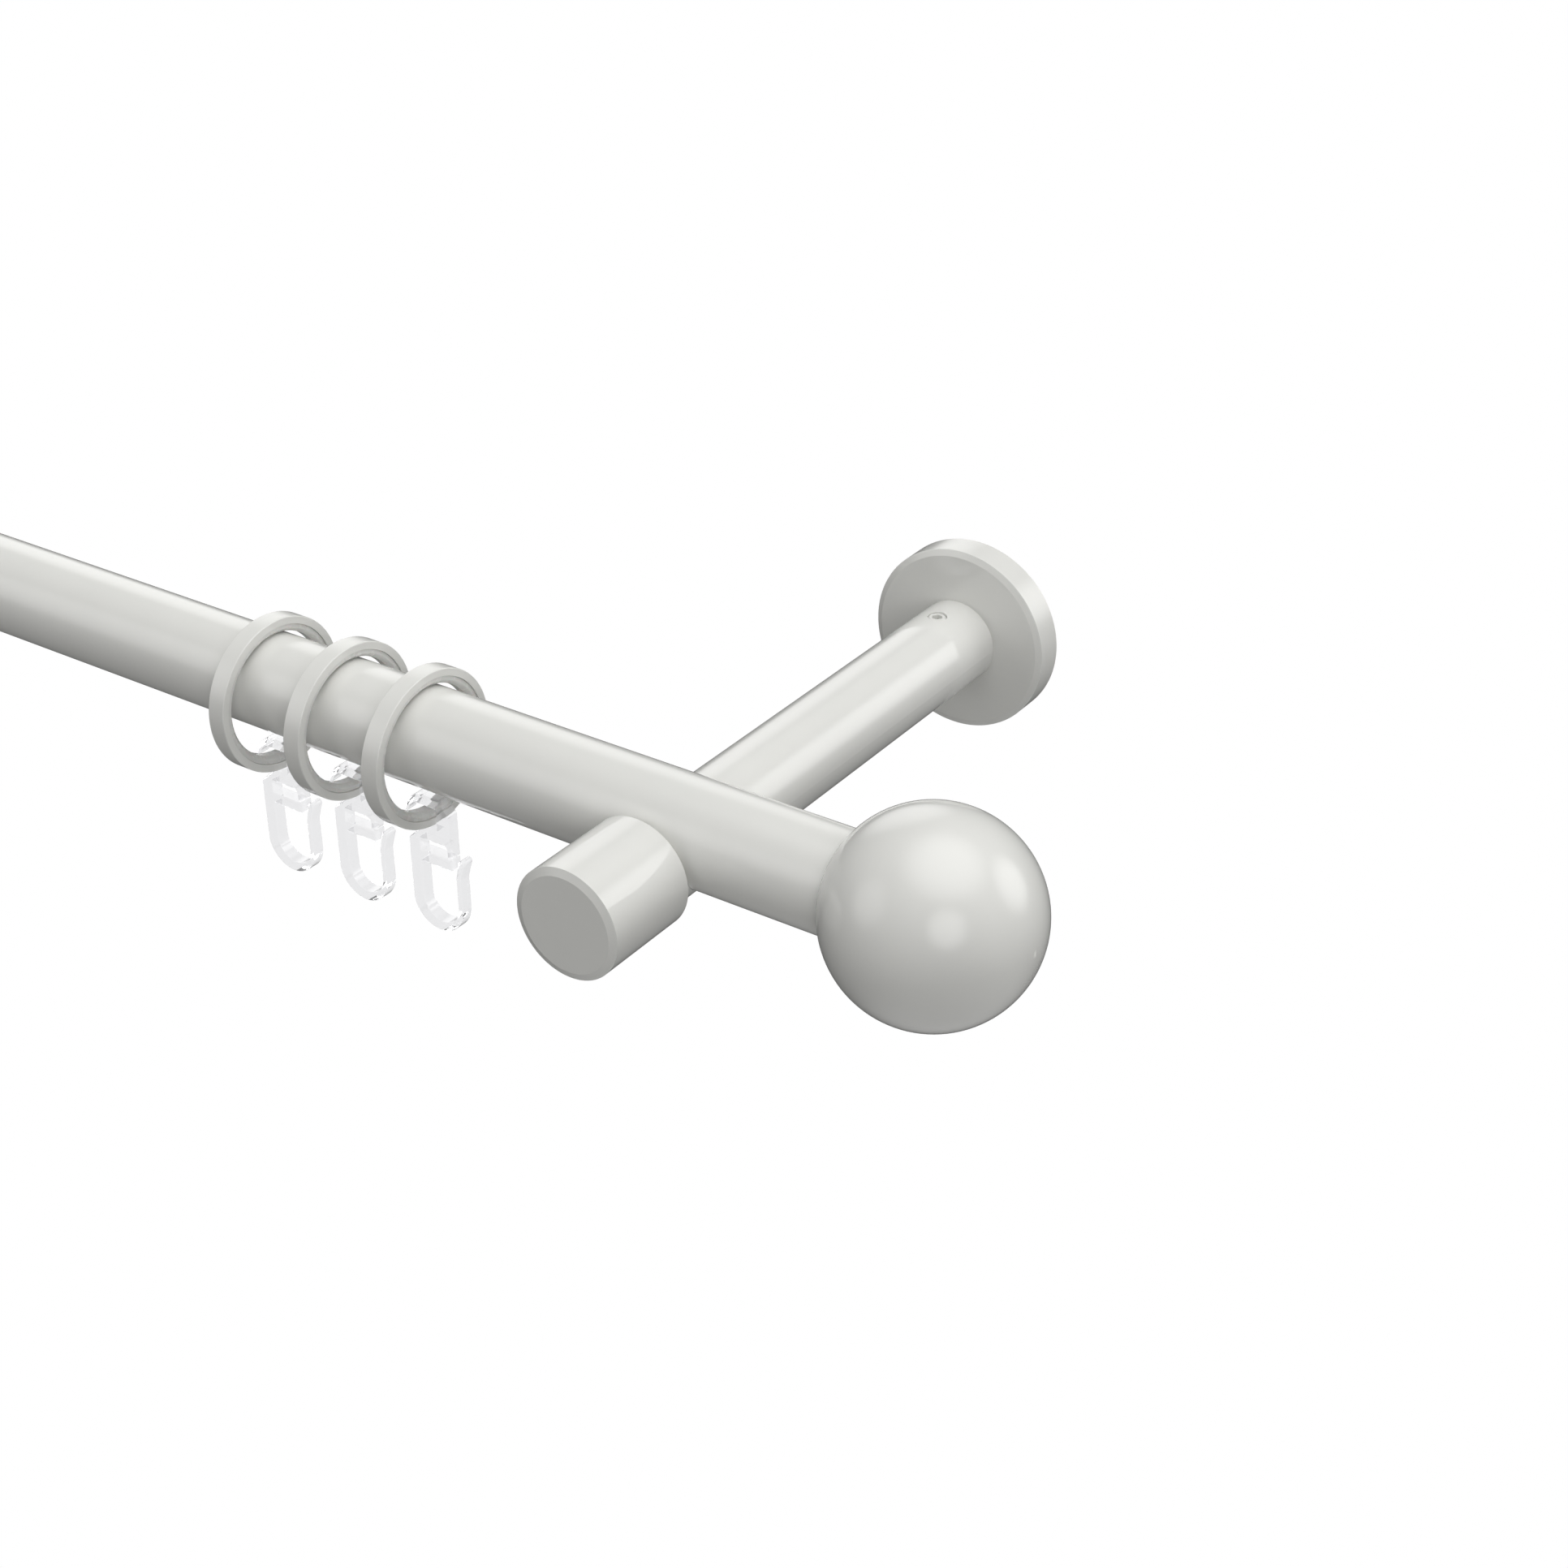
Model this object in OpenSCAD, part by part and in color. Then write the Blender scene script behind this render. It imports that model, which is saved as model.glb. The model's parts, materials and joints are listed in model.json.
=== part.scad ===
// Curtain rod with two wall brackets, ball finials, gliding rings and clip-on pleat hooks.
// X runs along the rod, Y points into the wall and Z is up. The origin lies on the wall's
// plane, midway between the two brackets, at the height of the axes of their arms.
// Everything is in millimetres.

/* [Rod] */
// Outer diameter of the rod tube
rod_d = 20; // [16:0.5:28]
// Wall of the rod tube
rod_wall = 1; // [0.8:0.1:1.5]
// Length of the rod tube
rod_length = 600; // [500:10:2400]

/* [Finials] */
// Diameter of the ball at each end
ball_d = 40; // [34:1:60]
// How far the rod's end is let into the ball
seat_depth = 2.7; // [1.5:0.1:4]
// Diameter of the threaded stud that holds the ball
stud_d = 6; // [4:1:8]
// Length of the stud inside the ball
stud_in_ball = 12; // [8:1:14]
// Length of the plug inside the tube
plug_length = 18; // [12:1:30]
// Width of a grip groove round the plug
groove_w = 1.4; // [1:0.1:2]
// Depth of a grip groove round the plug
groove_t = 0.6; // [0.3:0.1:0.9]

/* [Bracket arm] */
// Distance from the wall to the rod's axis
reach = 107; // [85:1:160]
// Distance from the rod's end to the bracket's axis
bracket_inset = 40; // [30:1:200]
// Diameter of the arm
arm_d = 18; // [15:0.5:22]
// Thickness of the arm left under the rod
web_t = 3.5; // [3:0.1:5]
// Diameter of the wall spigot inside the arm
spigot_d = 12; // [11:0.5:12.5]
// Length of the spigot in front of the wall plate
spigot_length = 27; // [24:1:40]
// Collar that the spigot stands on, wider than the spigot all round
collar_w = 1; // [0.5:0.1:1.2]
// Height of the collar
collar_t = 1.3; // [0.8:0.1:1.5]
// Distance from the rosette's front to the arm's grub screw
arm_grub_inset = 8.6; // [7:0.1:14]

/* [End cap] */
// Wall of the end cap round the arm's nose
cap_wall = 2; // [1.5:0.1:4]
// Length of the end cap
cap_length = 21.3; // [18:0.1:30]
// Gap between the rod's front and the end cap
cap_gap = 0.9; // [0.8:0.1:3]
// Length of the arm's nose inside the end cap
nose_length = 15; // [12:0.5:16]
// Width of the bevel round the end cap's front
cap_bevel = 1.5; // [0.4:0.1:2]
// Depth of the bevel round the end cap's front
cap_bevel_t = 0.6; // [0.3:0.1:2]

/* [Rosette and wall plate] */
// Diameter of the rosette
rosette_d = 40; // [40:1:60]
// Depth of the rosette from the wall to its front
rosette_depth = 6.9; // [6.8:0.1:12]
// Wall of the rosette
rosette_wall = 1.8; // [1.2:0.1:2]
// Width of the bevel round the rosette's front
rosette_bevel = 1.3; // [0.4:0.1:1.6]
// Depth of the bevel round the rosette's front
rosette_bevel_t = 0.6; // [0.3:0.1:1.2]
// Thickness of the wall plate
plate_t = 3; // [3:0.1:3.2]
// Diameter of the two holes for wall screws
screw_hole_d = 4.5; // [4:0.1:4.6]
// Distance between the two holes for wall screws
screw_pitch = 24; // [24:0.5:26]
// Depth of the countersinks for wall screws
countersink_t = 1.9; // [1.5:0.1:2.2]

/* [Screws] */
// Diameter of the screw that holds the spigot to its plate
spigot_screw_d = 5; // [4:1:6]
// Length of the spigot screw, head included
spigot_screw_length = 14; // [12:1:18]
// Diameter of the grub screws
grub_d = 4; // [3:1:5]
// Hexagon key size of the grub screws, across flats
grub_key = 2; // [1.5:0.5:2.5]
// Depth of the hexagon sockets
socket_t = 1.8; // [1:0.1:1.9]

/* [Rings] */
// Number of rings beside each bracket
rings_per_side = 3; // [1:1:5]
// Distance from the bracket's axis to the first ring
first_ring = 59.5; // [45:0.5:80]
// Distance from one ring to the next
ring_pitch = 20; // [16:0.5:22]
// Width of a ring along the rod
ring_w = 4.05; // [3.2:0.05:5]
// Radial thickness of the metal ring
ring_t = 1.6; // [1.5:0.1:3]
// Radial thickness of the plastic liner
liner_t = 1.7; // [1:0.1:2]
// Difference between the liner's inner radius and the rod's radius
ring_play = 3; // [2.6:0.1:6]
// Bevel on the ring's outer edges
ring_bevel = 0.15; // [0.1:0.05:0.8]
// How far the liner stands back from the ring's faces
liner_setback = 0.3; // [0.1:0.05:0.6]
// Bevel on the liner's inner edges
liner_bevel = 0.8; // [0.2:0.1:0.9]

/* [Hooks] */
// Thickness of the hook
hook_t = 2.75; // [2:0.05:4]
// How far the hook's shoulder stands out beside the ring
shoulder_w = 3.2; // [2.6:0.1:3.6]
// Gap between the tongue's end and the springy leg
leg_gap = 1.05; // [0.8:0.05:1.4]
// Height of the hook's loop
loop_h = 19.6; // [17:0.1:26]
// Width of the loop's stem
stem_w = 2.7; // [2:0.05:3]
// Width of the loop's springy leg
leg_w = 0.95; // [0.8:0.05:1.2]
// Thickness of the loop's floor
floor_t = 2.2; // [1.5:0.1:3]
// Gap between the ring's underside and the bridge
bridge_gap = 1.4; // [0.9:0.1:1.6]
// Thickness of the bridge under the ring
bridge_t = 2.8; // [2.2:0.1:4]
// Height of the slot between the bridge and the tongue
slot_h = 3; // [2:0.1:3.5]
// Thickness of the tongue that closes the loop
tongue_t = 2.3; // [1.5:0.1:3]
// Split between the tongue and the foot above it
split_w = 0.4; // [0.2:0.05:0.6]
// Width of the foot at the slot's open end
foot_w = 0.8; // [0.6:0.1:1.6]
// Width of the clip's wall beside the ring
clip_wall = 3.1; // [2.2:0.1:3.6]
// Thickness of the clip's jaw inside the ring
jaw_t = 1.9; // [1.2:0.1:2.1]

/* [Clearances] */
// Gap between pieces that fit into each other
fit_gap = 0.05; // [0.02:0.01:0.1]
// Gap where a hanging piece rests on another
hang_gap = 0.3; // [0.2:0.05:0.4]
// Play between the clip's wall and the ring, along the rod
clip_play = 0.3; // [0.2:0.05:0.6]

/* [Hidden] */
$fn = 96;
past = 1;           // how far a cutter runs past the face that it cuts
small_bevel = 0.4;  // bevel on turned ends
head_t = 2.5;       // height of the spigot screw's conical head
groove_depth = 0.7; // depth of the grooves that the grub screws bite into
sunk = 0.2;         // how deep a grub screw's top lies under the surface

rod_r = rod_d / 2;
rod_bore_r = rod_r - rod_wall;
ball_r = ball_d / 2;
stud_r = stud_d / 2;
arm_r = arm_d / 2;
spigot_r = spigot_d / 2;
grub_r = grub_d / 2;
groove_half = grub_r + 0.2;
cap_r = arm_r + fit_gap + cap_wall;
rosette_r = rosette_d / 2;
plate_r = rosette_r - rosette_wall - 0.2;
screw_hole_r = screw_hole_d / 2;
spigot_screw_r = spigot_screw_d / 2;

// The rod lies in a channel cut from above, and the web is what is left under it.
rod_rise = web_t + rod_r - arm_r;
bracket_x = rod_length / 2 - bracket_inset;
ball_offset = sqrt(pow(ball_r, 2) - pow(rod_r + fit_gap, 2)) - seat_depth;

// Distances from the wall along an arm
spigot_end = plate_t + spigot_length;
arm_grub_at = rosette_depth + arm_grub_inset;
cap_back = reach + rod_r + cap_gap;
nose_end = cap_back + nose_length;
cap_front = cap_back + cap_length;
cap_grub_at = cap_back + nose_length / 2;

// Rings hang on the rod's top, so their centre lies under the rod's.
liner_r = rod_r + ring_play;
ring_bore_r = liner_r + liner_t;
ring_r = ring_bore_r + ring_t;
ring_z = rod_rise - ring_play + hang_gap;
ring_band = ring_t + liner_t;

// The hook's outline is drawn from the lowest point of the ring's section: u along the rod
// and v up. Its clip passes over that section, and its loop hangs below.
clip_u = ring_w / 2 + clip_play;
plate_u = clip_u + clip_wall;
loop_left = -(ring_w / 2 + shoulder_w);
loop_right = plate_u + leg_gap + leg_w;
loop_w = loop_right - loop_left;
stem_u = loop_left + stem_w;
bridge_top = -bridge_gap;
bridge_low = bridge_top - bridge_t;
tongue_top = bridge_low - slot_h;
tongue_low = tongue_top - tongue_t;
shoulder_v = bridge_low - 0.9;
shoulder_top_u = loop_left + bridge_top - shoulder_v;
loop_low = shoulder_v - loop_h;
jaw_low = ring_band + hang_gap;
jaw_top = jaw_low + jaw_t;
foot_u = plate_u - foot_w;
slot_corner = 1.1;
leg_top = tongue_low - 1.5;
tip_r = 0.7;
tip_u = loop_right + 0.45;
tip_v = tongue_top;

lacquer = [0.91, 0.91, 0.89];
plastic = [0.86, 0.86, 0.84];
clear = [0.88, 0.92, 0.94, 0.45];
steel = [0.72, 0.73, 0.75];
zinc = [0.62, 0.64, 0.66];

SIDES = ["right", "left"];
FIXED = ["finial_ball", "finial_plug", "finial_stud", "wall_plate", "spigot", "spigot_screw",
    "rosette", "arm", "arm_grub_screw", "rod_clamp_screw", "end_cap", "cap_grub_screw"];
HANGING = ["ring", "ring_liner", "hook"];

// ---- Places -------------------------------------------------------------------------

function sign_of(side) = side == "right" ? 1 : -1;

// Local Z points out of the rod's end, and its origin is the centre of the end face.
module at_rod_end(side) {
    translate([sign_of(side) * rod_length / 2, -reach, rod_rise])
        rotate([0, 90 * sign_of(side), 0]) children();
}

// Local Z is the distance from the wall, and local Y is up.
module at_bracket(side) {
    translate([sign_of(side) * bracket_x, 0, 0]) rotate([90, 0, 0]) children();
}

// Centre of a ring; the first one is the nearest to its bracket.
module at_ring(side, i) {
    translate([sign_of(side) * (bracket_x - first_ring - (i - 1) * ring_pitch), -reach, ring_z])
        children();
}

// ---- Shapes used more than once -----------------------------------------------------

module bevelled_pin(r, low, high, bevel) {
    rotate_extrude() polygon([[0, low], [r - bevel, low], [r, low + bevel],
        [r, high - bevel], [r - bevel, high], [0, high]]);
}

module groove_cutter(r, at, half_w, depth) {
    rotate_extrude() translate([r - depth, at - half_w]) square([depth + past, 2 * half_w]);
}

// A grub screw whose top is at z = 0, with its socket there
module grub_screw(length) {
    difference() {
        bevelled_pin(grub_r, -length, 0, small_bevel);
        translate([0, 0, -socket_t]) cylinder(d = grub_key / cos(30), h = socket_t + past, $fn = 6);
    }
}

function arc(cu, cv, r, from, to, steps) =
    [for (k = [0 : steps]) let (a = from + (to - from) * k / steps) [cu + r * cos(a), cv + r * sin(a)]];

// ---- Rod and finials ----------------------------------------------------------------

module rod_tube() {
    color(lacquer) translate([-rod_length / 2, -reach, rod_rise]) rotate([0, 90, 0])
        difference() {
            cylinder(r = rod_r, h = rod_length);
            translate([0, 0, -past]) cylinder(r = rod_bore_r, h = rod_length + 2 * past);
        }
}

module finial_ball(side) {
    color(lacquer) at_rod_end(side) difference() {
        translate([0, 0, ball_offset]) sphere(r = ball_r);
        translate([0, 0, -ball_r]) cylinder(r = rod_r + fit_gap, h = ball_r);
        translate([0, 0, -past]) cylinder(r = stud_r + fit_gap, h = stud_in_ball + 2 * past);
    }
}

module finial_plug(side) {
    color(plastic) at_rod_end(side) difference() {
        bevelled_pin(rod_bore_r - fit_gap, -plug_length, 0, small_bevel);
        for (k = [1 : 3]) groove_cutter(rod_bore_r, -k * plug_length / 4, groove_w / 2, groove_t);
        translate([0, 0, -plug_length - past]) cylinder(r = stud_r + fit_gap, h = plug_length + 2 * past);
    }
}

module finial_stud(side) {
    color(zinc) at_rod_end(side) bevelled_pin(stud_r, -plug_length + 2, stud_in_ball, small_bevel);
}

// ---- Bracket ------------------------------------------------------------------------

module wall_plate(side) {
    color(steel) at_bracket(side) difference() {
        bevelled_pin(plate_r, 0, plate_t, small_bevel);
        for (y = [-screw_pitch / 2, screw_pitch / 2]) translate([0, y, 0]) {
            translate([0, 0, -past]) cylinder(r = screw_hole_r, h = plate_t + 2 * past);
            translate([0, 0, plate_t - countersink_t])
                cylinder(r1 = screw_hole_r, r2 = screw_hole_r + countersink_t + 0.1, h = countersink_t + 0.1);
        }
        translate([0, 0, -past]) cylinder(r = spigot_screw_r + fit_gap, h = plate_t + 2 * past);
        translate([0, 0, -0.1])
            cylinder(r1 = spigot_screw_r + head_t + 0.1 + fit_gap, r2 = spigot_screw_r + fit_gap, h = head_t + 0.1);
    }
}

module spigot(side) {
    color(zinc) at_bracket(side) difference() {
        union() {
            bevelled_pin(spigot_r, plate_t, spigot_end, small_bevel);
            translate([0, 0, plate_t]) cylinder(r = spigot_r + collar_w, h = collar_t);
        }
        groove_cutter(spigot_r, arm_grub_at, groove_half, groove_depth);
        translate([0, 0, plate_t - past])
            cylinder(r = spigot_screw_r + fit_gap, h = spigot_screw_length - plate_t + 2 * past);
    }
}

module spigot_screw(side) {
    color(steel) at_bracket(side) difference() {
        union() {
            cylinder(r1 = spigot_screw_r + head_t, r2 = spigot_screw_r, h = head_t);
            bevelled_pin(spigot_screw_r, 0, spigot_screw_length, small_bevel);
        }
        translate([0, 0, -past]) cylinder(d = 3 / cos(30), h = past + socket_t, $fn = 6);
    }
}

module rosette(side) {
    inner_r = rosette_r - rosette_wall;
    color(lacquer) at_bracket(side) rotate_extrude() polygon([
        [inner_r, 0], [rosette_r, 0], [rosette_r, rosette_depth - rosette_bevel_t],
        [rosette_r - rosette_bevel, rosette_depth], [spigot_r + 3 * fit_gap, rosette_depth],
        [spigot_r + 3 * fit_gap, rosette_depth - rosette_wall], [inner_r, rosette_depth - rosette_wall]]);
}

// The channel is as wide as the rod and open above, so that the rod is laid in from above.
module rod_channel() {
    channel_r = rod_r + fit_gap;
    translate([0, rod_rise, reach]) {
        rotate([0, 90, 0]) cylinder(r = channel_r, h = arm_d + 2 * past, center = true);
        translate([-arm_r - past, 0, -channel_r]) cube([arm_d + 2 * past, arm_d + rod_d, 2 * channel_r]);
    }
}

module arm(side) {
    color(lacquer) at_bracket(side) difference() {
        bevelled_pin(arm_r, rosette_depth, nose_end, small_bevel);
        rod_channel();
        translate([0, 0, rosette_depth - past])
            cylinder(r = spigot_r + fit_gap, h = spigot_end - rosette_depth + 2 * past);
        groove_cutter(arm_r, cap_grub_at, groove_half, groove_depth);
        translate([0, 0, arm_grub_at]) rotate([-90, 0, 0]) cylinder(r = grub_r + fit_gap, h = arm_d);
        translate([0, -arm_d, reach]) rotate([-90, 0, 0]) cylinder(r = grub_r + fit_gap, h = arm_d);
    }
}

module arm_grub_screw(side) {
    length = arm_r - sunk - (spigot_r - groove_depth + fit_gap);
    color(lacquer) at_bracket(side) translate([0, arm_r - sunk, arm_grub_at])
        rotate([-90, 0, 0]) grub_screw(length);
}

module rod_clamp_screw(side) {
    length = arm_r - sunk - (rod_r - rod_rise + fit_gap);
    color(lacquer) at_bracket(side) translate([0, -arm_r + sunk, reach])
        rotate([90, 0, 0]) grub_screw(length);
}

module end_cap(side) {
    color(lacquer) at_bracket(side) difference() {
        rotate_extrude() polygon([[0, cap_back], [cap_r - small_bevel / 2, cap_back],
            [cap_r, cap_back + small_bevel / 2], [cap_r, cap_front - cap_bevel_t],
            [cap_r - cap_bevel, cap_front], [0, cap_front]]);
        translate([0, 0, cap_back - past]) cylinder(r = arm_r + fit_gap, h = nose_length + past + fit_gap);
        translate([0, 0, cap_grub_at]) rotate([90, 0, 0]) cylinder(r = grub_r + fit_gap, h = 2 * cap_r);
    }
}

module cap_grub_screw(side) {
    length = cap_r - sunk - (arm_r - groove_depth + fit_gap);
    color(lacquer) at_bracket(side) translate([0, -cap_r + sunk, cap_grub_at])
        rotate([90, 0, 0]) grub_screw(length);
}

// ---- Rings and hooks ----------------------------------------------------------------

module ring(side, i) {
    half = ring_w / 2;
    color(lacquer) at_ring(side, i) rotate([0, 90, 0]) rotate_extrude() polygon([
        [ring_bore_r, -half], [ring_r - ring_bevel, -half], [ring_r, -half + ring_bevel],
        [ring_r, half - ring_bevel], [ring_r - ring_bevel, half], [ring_bore_r, half]]);
}

module ring_liner(side, i) {
    half = ring_w / 2 - liner_setback;
    color(plastic) at_ring(side, i) rotate([0, 90, 0]) rotate_extrude() polygon([
        [liner_r, -half + liner_bevel], [liner_r + liner_bevel, -half], [ring_bore_r, -half],
        [ring_bore_r, half], [liner_r + liner_bevel, half], [liner_r, half - liner_bevel]]);
}

// One outline, anticlockwise from the stem's shoulder: the loop for the curtain tape, the
// tongue across it, and above them the clip that hangs on the ring. The mouth between the
// clip's nose and the shoulder lets the ring in.
module hook_outline() {
    outer_r = loop_w / 2;
    inner_r = (loop_w - stem_w - leg_w) / 2;
    mouth_u = -ring_w / 2 - hang_gap;
    nose_r = 6;
    nose_inner_r = 5;
    polygon(concat(
        // stem, floor and leg from outside
        [[loop_left, shoulder_v]],
        arc(loop_left + outer_r, loop_low + outer_r, outer_r, 180, 360, 24),
        [[loop_right, leg_top]],
        // tip of the leg
        arc(tip_u, tip_v, tip_r, -30, 200, 14),
        // the loop's inside
        [[loop_right - leg_w, leg_top]],
        arc(stem_u + inner_r, loop_low + floor_t + inner_r, inner_r, 360, 180, 24),
        // tongue
        [[stem_u, tongue_low], [plate_u, tongue_low], [plate_u, tongue_top], [stem_u, tongue_top]],
        // slot under the bridge, and the foot beside it
        [[stem_u, bridge_low]],
        arc(foot_u - slot_corner, bridge_low - slot_corner, slot_corner, 90, 0, 6),
        [[foot_u, tongue_top + split_w], [plate_u, tongue_top + split_w]],
        // wall, jaw and nose
        [[plate_u, jaw_top - 2.8], [plate_u - 2.6, jaw_top]],
        arc(mouth_u + 2.7, jaw_top - 5.1, nose_r, 122, 175, 10),
        arc(mouth_u + 1.75, jaw_low - 4.4, nose_inner_r, 160, 118, 8),
        // the space that holds the ring
        [[clip_u, jaw_low], [clip_u, bridge_top], [shoulder_top_u, bridge_top]]));
}

module hook(side, i) {
    color(clear) at_ring(side, i) mirror([side == "right" ? 0 : 1, 0, 0])
        rotate([90, 0, 0]) linear_extrude(height = hook_t, center = true)
            translate([0, -ring_r]) hook_outline();
}

// ---- Assembly -----------------------------------------------------------------------

rod_tube();
for (s = SIDES) {
    finial_ball(s);
    finial_plug(s);
    finial_stud(s);
    wall_plate(s);
    spigot(s);
    spigot_screw(s);
    rosette(s);
    arm(s);
    arm_grub_screw(s);
    rod_clamp_screw(s);
    end_cap(s);
    cap_grub_screw(s);
    for (i = [1 : rings_per_side]) {
        ring(s, i);
        ring_liner(s, i);
        hook(s, i);
    }
}
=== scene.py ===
import json
import math

import bmesh
import bpy
from mathutils import Matrix, Vector


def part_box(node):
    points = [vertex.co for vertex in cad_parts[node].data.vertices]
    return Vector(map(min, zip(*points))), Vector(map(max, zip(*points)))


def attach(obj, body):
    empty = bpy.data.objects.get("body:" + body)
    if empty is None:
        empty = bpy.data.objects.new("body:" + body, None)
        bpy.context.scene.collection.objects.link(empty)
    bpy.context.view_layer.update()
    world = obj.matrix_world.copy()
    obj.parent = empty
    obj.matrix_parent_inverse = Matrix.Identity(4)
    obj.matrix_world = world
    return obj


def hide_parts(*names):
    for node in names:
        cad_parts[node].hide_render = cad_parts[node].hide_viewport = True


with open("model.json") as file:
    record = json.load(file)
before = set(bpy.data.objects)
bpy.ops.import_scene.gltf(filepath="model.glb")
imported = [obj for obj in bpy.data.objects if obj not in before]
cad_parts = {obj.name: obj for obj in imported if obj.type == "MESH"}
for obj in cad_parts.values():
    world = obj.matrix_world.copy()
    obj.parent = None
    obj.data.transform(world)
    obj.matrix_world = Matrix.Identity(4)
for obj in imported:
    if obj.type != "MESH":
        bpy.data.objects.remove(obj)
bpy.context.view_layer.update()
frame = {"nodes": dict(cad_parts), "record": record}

# The lacquered curtain rod on its two brackets. Everything is in metres, in the frame's own
# axes: X along the rod, Y into the wall, Z up. Each rounded piece is made from its node's own
# mesh, and the camera stands at a fixed offset from the ball on the right.

MM = 0.001
SIDES = ("right", "left")
RINGS = range(1, 4)


def centre(node):
    low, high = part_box(node)
    return (low + high) / 2


def size(node):
    low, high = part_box(node)
    return high - low


# ---- Sizes read from the frame ---------------------------------------------------------

ROD_AXIS = centre("rod_tube")
BALL_R = size("right_finial_ball").z / 2
BALL = Vector((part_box("right_finial_ball")[1].x - BALL_R, ROD_AXIS.y, ROD_AXIS.z))


# ---- Shader helpers --------------------------------------------------------------------

class Shader:
    """A material's node tree, with short calls for the nodes that the finishes share."""

    def __init__(self, name):
        self.material = bpy.data.materials.new(name)
        self.material.use_nodes = True
        self.nodes = self.material.node_tree.nodes
        self.links = self.material.node_tree.links
        self.surface = self.nodes["Principled BSDF"]
        self.place = self.nodes.new("ShaderNodeTexCoord").outputs["Object"]

    def set(self, **values):
        for name, value in values.items():
            self.surface.inputs[name.replace("_", " ")].default_value = value

    def noise(self, scale, detail=2.0, stretch=None):
        place = self.place
        if stretch:
            mapping = self.nodes.new("ShaderNodeMapping")
            mapping.inputs["Scale"].default_value = stretch
            self.links.new(place, mapping.inputs["Vector"])
            place = mapping.outputs["Vector"]
        node = self.nodes.new("ShaderNodeTexNoise")
        node.inputs["Scale"].default_value = scale
        node.inputs["Detail"].default_value = detail
        self.links.new(place, node.inputs["Vector"])
        return node.outputs["Fac"]

    def ramp(self, value, low, high):
        """Turns a noise into a number between low and high, or a colour between two."""
        node = self.nodes.new("ShaderNodeValToRGB")
        grey = not hasattr(low, "__len__")
        for stop, at, shade in ((0, 0.3, low), (1, 0.7, high)):
            node.color_ramp.elements[stop].position = at
            node.color_ramp.elements[stop].color = (shade,) * 3 + (1,) if grey else (*shade, 1)
        self.links.new(value, node.inputs["Fac"])
        return node.outputs["Color"]

    def link(self, output, name):
        self.links.new(output, self.surface.inputs[name])

    def bump(self, height, depth):
        node = self.nodes.new("ShaderNodeBump")
        node.inputs["Distance"].default_value = depth
        node.inputs["Strength"].default_value = 1.0
        self.links.new(height, node.inputs["Height"])
        self.links.new(node.outputs["Normal"], self.surface.inputs["Normal"])


# ---- Finishes --------------------------------------------------------------------------

def lacquer(name, shade, roughness, coat_roughness):
    """Stoved lacquer: a matt pale body under a hard clear coat with a faint orange peel."""
    s = Shader(name)
    low = [c * 0.985 for c in shade]
    s.link(s.ramp(s.noise(90, 3), low, shade), "Base Color")
    s.link(s.ramp(s.noise(240, 2), roughness - 0.03, roughness + 0.03), "Roughness")
    s.set(IOR=1.5, Specular_IOR_Level=0.1, Coat_Weight=1.0, Coat_Roughness=coat_roughness, Coat_IOR=1.5)
    s.bump(s.noise(900, 1), 0.003 * MM)
    return s.material


def moulded_plastic(name, shade, roughness):
    s = Shader(name)
    low = [c * 0.96 for c in shade]
    s.link(s.ramp(s.noise(160, 3), low, shade), "Base Color")
    s.link(s.ramp(s.noise(700, 2), roughness - 0.05, roughness + 0.05), "Roughness")
    s.set(IOR=1.49, Subsurface_Weight=0.1, Subsurface_Scale=0.5 * MM)
    s.bump(s.noise(1500, 2), 0.006 * MM)
    return s.material


# Far below a real plastic's index, because a higher one hides the ring behind its clip
THROUGH_INDEX = 1.1


def clear_plastic(name):
    """Clear moulded plastic: a glossy coat over a body with faint flow marks."""
    s = Shader(name)
    s.set(Transmission_Weight=1.0, IOR=THROUGH_INDEX, Base_Color=(0.87, 0.87, 0.88, 1))
    s.set(Coat_Weight=1.0, Coat_IOR=1.5, Coat_Roughness=0.02)
    s.link(s.ramp(s.noise(500, 2), 0.0, 0.01), "Roughness")
    s.bump(s.noise(350, 2), 0.001 * MM)
    return s.material


def metal(name, shade, roughness, brushed):
    s = Shader(name)
    low = [c * 0.9 for c in shade]
    s.link(s.ramp(s.noise(300, 3), low, shade), "Base Color")
    s.link(s.ramp(s.noise(800, 2, brushed), roughness - 0.06, roughness + 0.06), "Roughness")
    s.set(Metallic=1.0)
    s.bump(s.noise(1200, 2, brushed), 0.003 * MM)
    return s.material


PALE = (0.80, 0.80, 0.775)
FINISHES = {
    "rod": lacquer("rod lacquer", PALE, 0.5, 0.05),
    "ball": lacquer("ball lacquer", PALE, 0.5, 0.05),
    "bracket": lacquer("bracket lacquer", PALE, 0.5, 0.05),
    "ring": lacquer("ring lacquer", PALE, 0.55, 0.18),
    "liner": moulded_plastic("liner plastic", (0.74, 0.74, 0.72), 0.25),
    "clear": clear_plastic("clear plastic"),
    "nylon": moulded_plastic("nylon", (0.86, 0.85, 0.80), 0.45),
    "zinc": metal("bright zinc", (0.62, 0.64, 0.67), 0.32, (1, 1, 12)),
    "steel": metal("bright steel", (0.78, 0.78, 0.79), 0.4, (1, 12, 1)),
}


def finish(obj, name):
    obj.data.materials.clear()
    obj.data.materials.append(FINISHES[name])


# ---- Meshes ----------------------------------------------------------------------------

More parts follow.
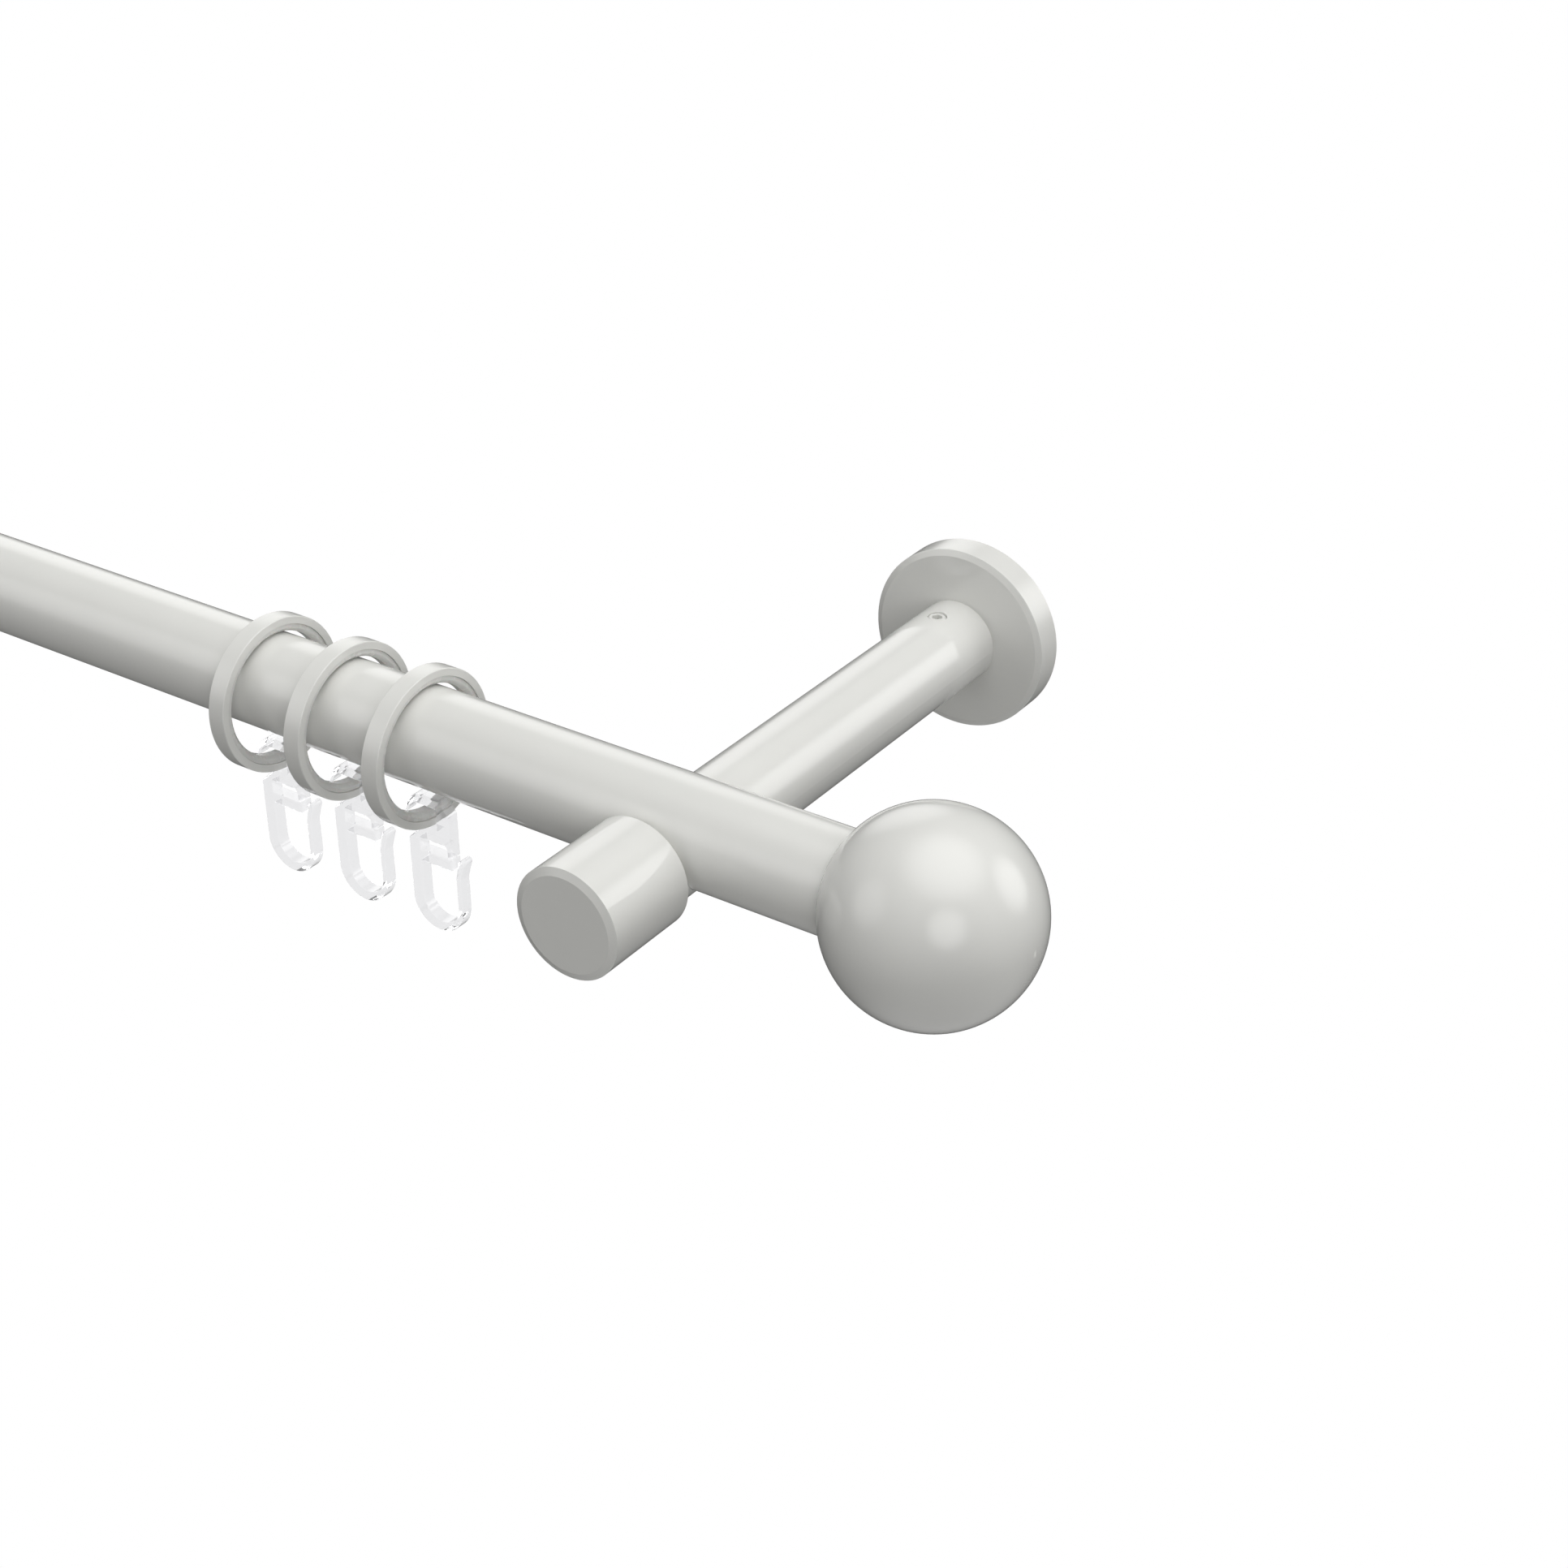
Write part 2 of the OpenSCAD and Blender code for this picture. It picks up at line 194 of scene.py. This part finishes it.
def fillet(corners, steps=4):
    """Outline with rounded corners; a corner is (radius, height) or (radius, height, round)."""
    points = []
    count = len(corners)
    for i, corner in enumerate(corners):
        here = Vector(corner[:2])
        r = corner[2] if len(corner) > 2 else 0
        if not r:
            points.append(here)
            continue
        before = (Vector(corners[i - 1][:2]) - here).normalized()
        after = (Vector(corners[(i + 1) % count][:2]) - here).normalized()
        half = before.angle(after) / 2
        mid = here + (before + after).normalized() * r / math.sin(half)
        start = here + before * r / math.tan(half) - mid
        turn = start.angle_signed(here + after * r / math.tan(half) - mid)
        for k in range(steps + 1):
            points.append(mid + Matrix.Rotation(-turn * k / steps, 2) @ start)
    return points


def turned(name, outline, segments=64):
    """Solid of revolution about Z: outline is a closed loop of (radius, height)."""
    bm = bmesh.new()
    rows = []
    for radius, height in outline:
        if radius < 1e-7:
            rows.append([bm.verts.new((0, 0, height))])
            continue
        rows.append([])
        for k in range(segments):
            a = 2 * math.pi * k / segments
            rows[-1].append(bm.verts.new((radius * math.cos(a), radius * math.sin(a), height)))
    for i, row in enumerate(rows):
        after = rows[(i + 1) % len(rows)]
        if len(row) == 1 and len(after) == 1:
            continue
        for k in range(segments):
            n = (k + 1) % segments
            near = [row[k % len(row)], row[n % len(row)]]
            far = [after[n % len(after)], after[k % len(after)]]
            bm.faces.new(dict.fromkeys(near + far))
    bmesh.ops.recalc_face_normals(bm, faces=bm.faces)
    return add_mesh(name, bm)


def add_mesh(name, bm):
    mesh = bpy.data.meshes.new(name)
    bm.to_mesh(mesh)
    bm.free()
    mesh.polygons.foreach_set("use_smooth", [True] * len(mesh.polygons))
    obj = bpy.data.objects.new(name, mesh)
    bpy.context.scene.collection.objects.link(obj)
    obj.modifiers.new("weighted normals", "WEIGHTED_NORMAL").weight = 100
    return obj


body_of = {n: b for b, nodes in frame["record"]["behaviour"]["bodies"].items() for n in nodes}


# ---- Pieces ----------------------------------------------------------------------------

SAME_POINT = 0.002 * MM
SAME_PLANE = math.radians(0.5)
SHARP = math.radians(15)


def softened(node, name, edge, look):
    """Stands for the node with a copy of its own mesh whose sharp edges are rounded off."""
    bm = bmesh.new()
    bm.from_mesh(frame["nodes"][node].data)
    bmesh.ops.remove_doubles(bm, verts=bm.verts, dist=SAME_POINT)
    bmesh.ops.dissolve_limit(bm, angle_limit=SAME_PLANE, verts=bm.verts, edges=bm.edges)
    sharp = [e for e in bm.edges if e.is_manifold and e.calc_face_angle() > SHARP]
    bmesh.ops.bevel(bm, geom=sharp, offset=edge, segments=2, affect="EDGES", profile=0.5,
                    clamp_overlap=True)
    obj = add_mesh(name, bm)
    finish(obj, look)
    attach(obj, body_of[node])
    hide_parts(node)


LOOKS = {
    "rod_tube": "rod", "finial_ball": "ball", "finial_plug": "nylon", "finial_stud": "zinc",
    "wall_plate": "steel", "spigot": "zinc", "spigot_screw": "steel", "rosette": "bracket",
    "arm": "bracket", "arm_grub_screw": "bracket", "rod_clamp_screw": "bracket",
    "end_cap": "bracket", "cap_grub_screw": "bracket", "ring": "ring", "ring_liner": "liner",
    "hook": "clear",
}


def kind(node):
    """A node's name without its side and its number."""
    return node.removeprefix("right_").removeprefix("left_").rstrip("_0123456789")


for node, obj in frame["nodes"].items():
    finish(obj, LOOKS[kind(node)])

CASTING_EDGE = 0.08 * MM
SCREW_EDGE = 0.06 * MM
HOOK_EDGE = 0.2 * MM
RING_EDGE = 0.05 * MM
LINER_EDGE = 0.15 * MM

# Each rounded piece: the kind of node, the piece's own name, its edges and its material slot
BRACKET_PIECES = (
    ("end_cap", "bracket_cap", CASTING_EDGE, "bracket_lacquer"),
    ("rosette", "wall_rosette", CASTING_EDGE, "bracket_lacquer"),
    ("arm_grub_screw", "arm_grub", SCREW_EDGE, "bracket_lacquer"),
)
RING_PIECES = (
    ("hook", "pleat_hook", HOOK_EDGE, "hook_clear"),
    ("ring", "curtain_ring", RING_EDGE, "ring_lacquer"),
    ("ring_liner", "glide_ring", LINER_EDGE, "liner_plastic"),
)

for side in SIDES:
    for node, name, edge, slot in BRACKET_PIECES:
        softened(f"{side}_{node}", f"{side}_{name}", edge, LOOKS[node])
    for i in RINGS:
        for node, name, edge, slot in RING_PIECES:
            softened(f"{side}_{node}_{i}", f"{side}_{name}_{i}", edge, LOOKS[node])


# ---- Stage, light and camera -----------------------------------------------------------

def add_object(name, data):
    obj = bpy.data.objects.new(name, data)
    bpy.context.scene.collection.objects.link(obj)
    return obj


FLOOR_Z = -1.3
COVE_R = 6.0
COVE_TOP = 2 * COVE_R
COVE_WALL = 1.0


def studio():
    """A white floor and a white cove round it, seen by the camera and through clear plastic."""
    low = FLOOR_Z - COVE_WALL
    inner, outer = COVE_R + COVE_WALL, COVE_R + 2 * COVE_WALL
    cove = [
        (COVE_R, FLOOR_Z), (inner, FLOOR_Z, COVE_WALL), (inner, COVE_TOP), (0, COVE_TOP),
        (0, COVE_TOP + COVE_WALL), (outer, COVE_TOP + COVE_WALL), (outer, low), (COVE_R, low),
    ]
    ground = [(0, FLOOR_Z), (COVE_R, FLOOR_Z), (COVE_R, low), (0, low)]
    s = Shader("white stage")
    s.set(Base_Color=(0, 0, 0, 1), Specular_IOR_Level=0.0)
    s.set(Emission_Strength=1.0, Emission_Color=(1, 1, 1, 1))
    for name, outline in (("floor", ground), ("cove", cove)):
        obj = turned(name, fillet(outline, 12))
        obj.data.materials.append(s.material)
        obj.visible_diffuse = obj.visible_glossy = obj.visible_shadow = False


SURROUND = 0.1

# Azimuths in degrees, from +X towards the wall
RIGHT_CORNERS = (45, 315)
LEFT_CORNERS = (135, 225)

# Each glow is an azimuth, an elevation and a reach, all in degrees, and its radiance
OVERHEAD = (0, 80, 45, 2.4)
FLOOR_BOUNCE = (0, -80, 50, 0.6)
BRIGHT_SIDE = [(azimuth, 20, 25, 2.7) for azimuth in RIGHT_CORNERS]
DIM_SIDE = [(azimuth, 20, 25, 1.4) for azimuth in LEFT_CORNERS]


def towards(azimuth, elevation):
    turn, rise = math.radians(azimuth), math.radians(elevation)
    return Vector((math.cos(rise) * math.cos(turn), math.cos(rise) * math.sin(turn), math.sin(rise)))


def surroundings():
    """Plain soft light: round glows on a dark surround, each brightest in its middle."""
    world = bpy.data.worlds.new("soft light")
    bpy.context.scene.world = world
    world.use_nodes = True
    nodes, links = world.node_tree.nodes, world.node_tree.links
    place = nodes.new("ShaderNodeTexCoord").outputs["Generated"]
    total = None
    for azimuth, elevation, reach, radiance in [OVERHEAD, FLOOR_BOUNCE, *BRIGHT_SIDE, *DIM_SIDE]:
        along = nodes.new("ShaderNodeVectorMath")
        along.operation = "DOT_PRODUCT"
        along.inputs[1].default_value = towards(azimuth, elevation)
        glow = nodes.new("ShaderNodeMapRange")
        glow.interpolation_type = "SMOOTHSTEP"
        glow.inputs["From Min"].default_value = math.cos(math.radians(reach))
        glow.inputs["To Max"].default_value = radiance
        links.new(place, along.inputs[0])
        links.new(along.outputs["Value"], glow.inputs["Value"])
        added = nodes.new("ShaderNodeMath")
        added.inputs[0].default_value = SURROUND
        if total:
            links.new(total, added.inputs[0])
        links.new(glow.outputs["Result"], added.inputs[1])
        total = added.outputs["Value"]
    links.new(total, nodes["Background"].inputs["Strength"])
    nodes["Background"].inputs["Color"].default_value = (1, 1, 0.99, 1)


# The camera looks towards the wall, turned left by its azimuth and down by its elevation, in
# degrees; its lens and sensor are in millimetres
AZIMUTH, ELEVATION = 34.157, 30.073
LENS, SENSOR = 57.355, 36
CAMERA_FROM_BALL = Vector((0.17924, -0.30938, 0.23258))


def camera():
    data = bpy.data.cameras.new("camera")
    data.sensor_width, data.lens = SENSOR, LENS
    data.clip_start, data.clip_end = 0.01, 50
    obj = add_object("camera", data)
    obj.location = BALL + CAMERA_FROM_BALL
    obj.rotation_euler = (math.radians(90 - ELEVATION), 0, math.radians(AZIMUTH))
    bpy.context.scene.camera = obj


studio()
surroundings()
camera()
bpy.context.scene.view_settings.view_transform = "Standard"
